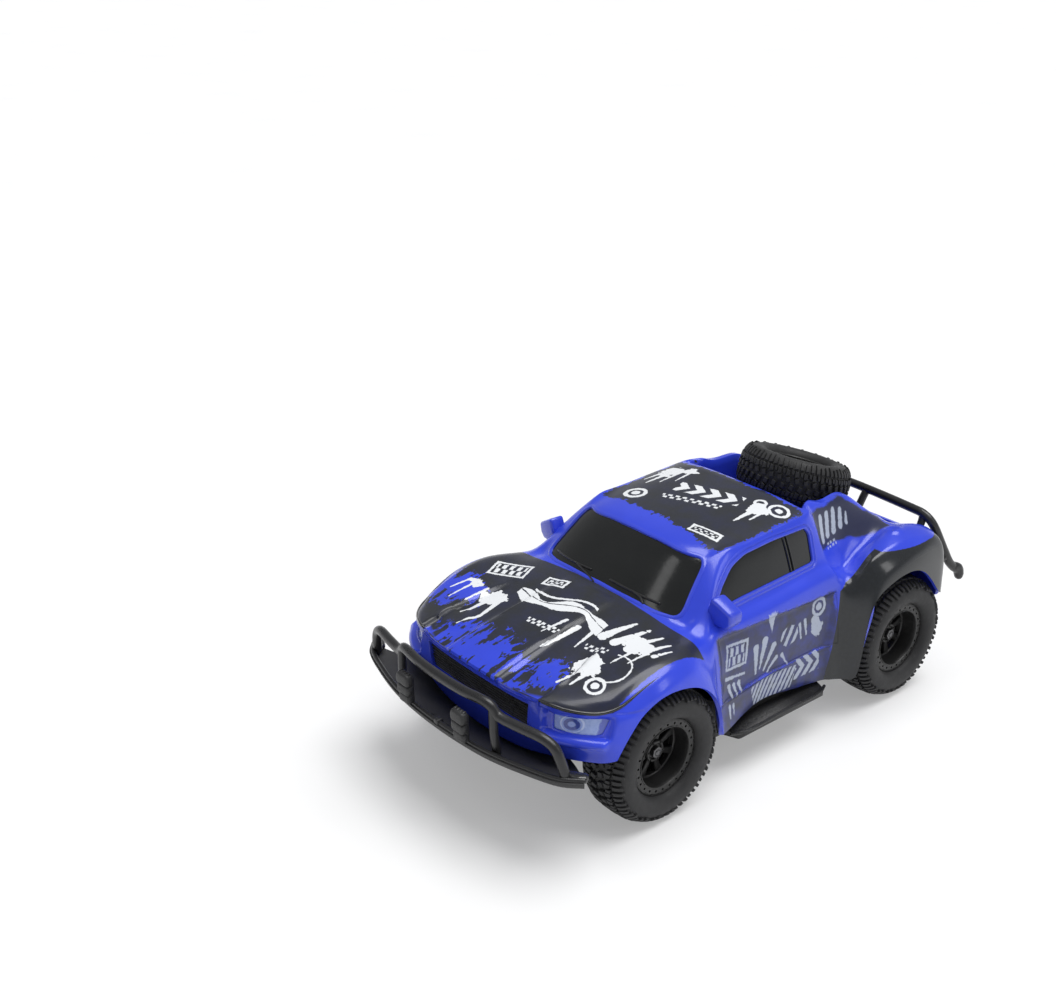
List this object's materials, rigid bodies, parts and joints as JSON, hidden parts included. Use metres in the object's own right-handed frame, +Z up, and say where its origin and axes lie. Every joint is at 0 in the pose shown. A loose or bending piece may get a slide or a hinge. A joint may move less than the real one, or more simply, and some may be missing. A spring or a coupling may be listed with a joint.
{
  "type": "remote control car",
  "caption": "Toy radio-controlled short-course pickup with a moulded shell, spoked wheels, steering front axle, geared rear axle, bull bar, rear bar and a spare tyre in the bed.",
  "frame": {"origin": "middle of the footprint of the whole car, on the floor that the tyres stand on", "axes": "+Z up, front of the car towards -Y, +X to the car's left side as seen by a driver sitting in it"},
  "size_m": [0.1432, 0.277, 0.1117],
  "materials": {
    "body_blue": "glossy moulded",
    "window_black": "high gloss",
    "black_plastic": "satin moulded",
    "bar_black": "satin gloss tube",
    "grille_black": "fine mesh",
    "lamp_print": "printed lens",
    "tyre_rubber": "soft rubber",
    "rim_black": "satin",
    "steel": "turned",
    "motor_can": "rolled can",
    "brass": "turned",
    "nylon": "moulded nylon",
    "cell_wrap": "printed sleeve",
    "board_green": "solder mask"
  },
  "bodies": {
    "chassis": {"body_shell": "body_blue", "windshield": "window_black", "side_window_left": "window_black", "side_window_right": "window_black", "grille_insert": "grille_black", "headlight_lens_left": "lamp_print", "headlight_lens_right": "lamp_print", "front_bumper": "bar_black", "rear_bumper": "bar_black", "fog_lamp_left": "black_plastic", "fog_lamp_right": "black_plastic", "side_step_left": "black_plastic", "side_step_right": "black_plastic", "chassis_tub": "black_plastic", "steering_servo": "black_plastic", "steering_cover": "black_plastic", "battery_box": "black_plastic", "gearbox_lower": "black_plastic", "gearbox_cover": "black_plastic", "spare_mount": "black_plastic", "spare_tyre": "tyre_rubber", "spare_rim": "rim_black", "reduction_pin": "steel", "kingpin_left": "steel", "kingpin_right": "steel", "switch_housing": "steel", "body_screw_front_left": "steel", "body_screw_front_right": "steel", "body_screw_rear_left": "steel", "body_screw_rear_right": "steel", "drive_motor": "motor_can", "axle_bush_left": "brass", "axle_bush_right": "brass", "battery_cell_1": "cell_wrap", "battery_cell_2": "cell_wrap", "battery_cell_3": "cell_wrap", "battery_cell_4": "cell_wrap", "circuit_board": "board_green"},
    "rear_axle_set": {"rear_axle": "steel", "axle_gear": "nylon", "tyre_rear_left": "tyre_rubber", "tyre_rear_right": "tyre_rubber", "rim_rear_left": "rim_black", "rim_rear_right": "rim_black", "wheel_nut_rear_left": "steel", "wheel_nut_rear_right": "steel"},
    "reduction_set": {"reduction_gear": "nylon"},
    "pinion_set": {"motor_pinion": "brass"},
    "knuckle_set_left": {"knuckle_left": "black_plastic", "wheel_nut_front_left": "steel"},
    "knuckle_set_right": {"knuckle_right": "black_plastic", "wheel_nut_front_right": "steel"},
    "wheel_front_left": {"tyre_front_left": "tyre_rubber", "rim_front_left": "rim_black"},
    "wheel_front_right": {"tyre_front_right": "tyre_rubber", "rim_front_right": "rim_black"},
    "tie_rod_body": {"tie_rod": "black_plastic"},
    "steering_arm_body": {"steering_arm": "nylon"},
    "battery_door_body": {"battery_door": "black_plastic"},
    "power_switch_body": {"power_switch": "black_plastic"}
  },
  "joints": [
    {"name": "rear_axle_spin", "type": "hinge", "parent": "chassis", "child": "rear_axle_set", "pos_m": [0, 0.08786, 0.03], "axis": [1, 0, 0], "continuous": true},
    {"name": "reduction_spin", "type": "hinge", "parent": "chassis", "child": "reduction_set", "pos_m": [0, 0.07426, 0.03], "axis": [1, 0, 0], "continuous": true},
    {"name": "pinion_spin", "type": "hinge", "parent": "chassis", "child": "pinion_set", "pos_m": [0, 0.06226, 0.03], "axis": [1, 0, 0], "continuous": true},
    {"name": "steer_left", "type": "hinge", "parent": "chassis", "child": "knuckle_set_left", "pos_m": [0.048, -0.06614, 0.03], "axis": [0, 0, 1], "range_deg": [-20, 20]},
    {"name": "steer_right", "type": "hinge", "parent": "chassis", "child": "knuckle_set_right", "pos_m": [-0.048, -0.06614, 0.03], "axis": [0, 0, 1], "range_deg": [-20, 20]},
    {"name": "tie_rod_slide", "type": "slide", "parent": "chassis", "child": "tie_rod_body", "axis": [1, 0, 0], "range_m": [-0.0032, 0.0032]},
    {"name": "steering_arm_turn", "type": "hinge", "parent": "chassis", "child": "steering_arm_body", "pos_m": [0, -0.04814, 0.03], "axis": [0, 0, 1], "range_deg": [-20, 20]},
    {"name": "wheel_spin_left", "type": "hinge", "parent": "knuckle_set_left", "child": "wheel_front_left", "pos_m": [0.0545, -0.06614, 0.03], "axis": [1, 0, 0], "continuous": true},
    {"name": "wheel_spin_right", "type": "hinge", "parent": "knuckle_set_right", "child": "wheel_front_right", "pos_m": [-0.0545, -0.06614, 0.03], "axis": [1, 0, 0], "continuous": true},
    {"name": "battery_door_hinge", "type": "hinge", "parent": "chassis", "child": "battery_door_body", "pos_m": [0, 0.04086, 0.014], "axis": [1, 0, 0], "range_deg": [0, 90]},
    {"name": "power_switch_slide", "type": "slide", "parent": "chassis", "child": "power_switch_body", "axis": [0, 1, 0], "range_m": [0, 0.0035]}
  ],
  "couplings": [
    {"joint": "reduction_spin", "follows": "rear_axle_spin", "ratio": -2.4},
    {"joint": "pinion_spin", "follows": "rear_axle_spin", "ratio": 6.6},
    {"joint": "steer_right", "follows": "steer_left", "ratio": 1},
    {"joint": "tie_rod_slide", "follows": "steer_left", "m_per_rad": -0.009},
    {"joint": "steering_arm_turn", "follows": "steer_left", "ratio": -1}
  ]
}
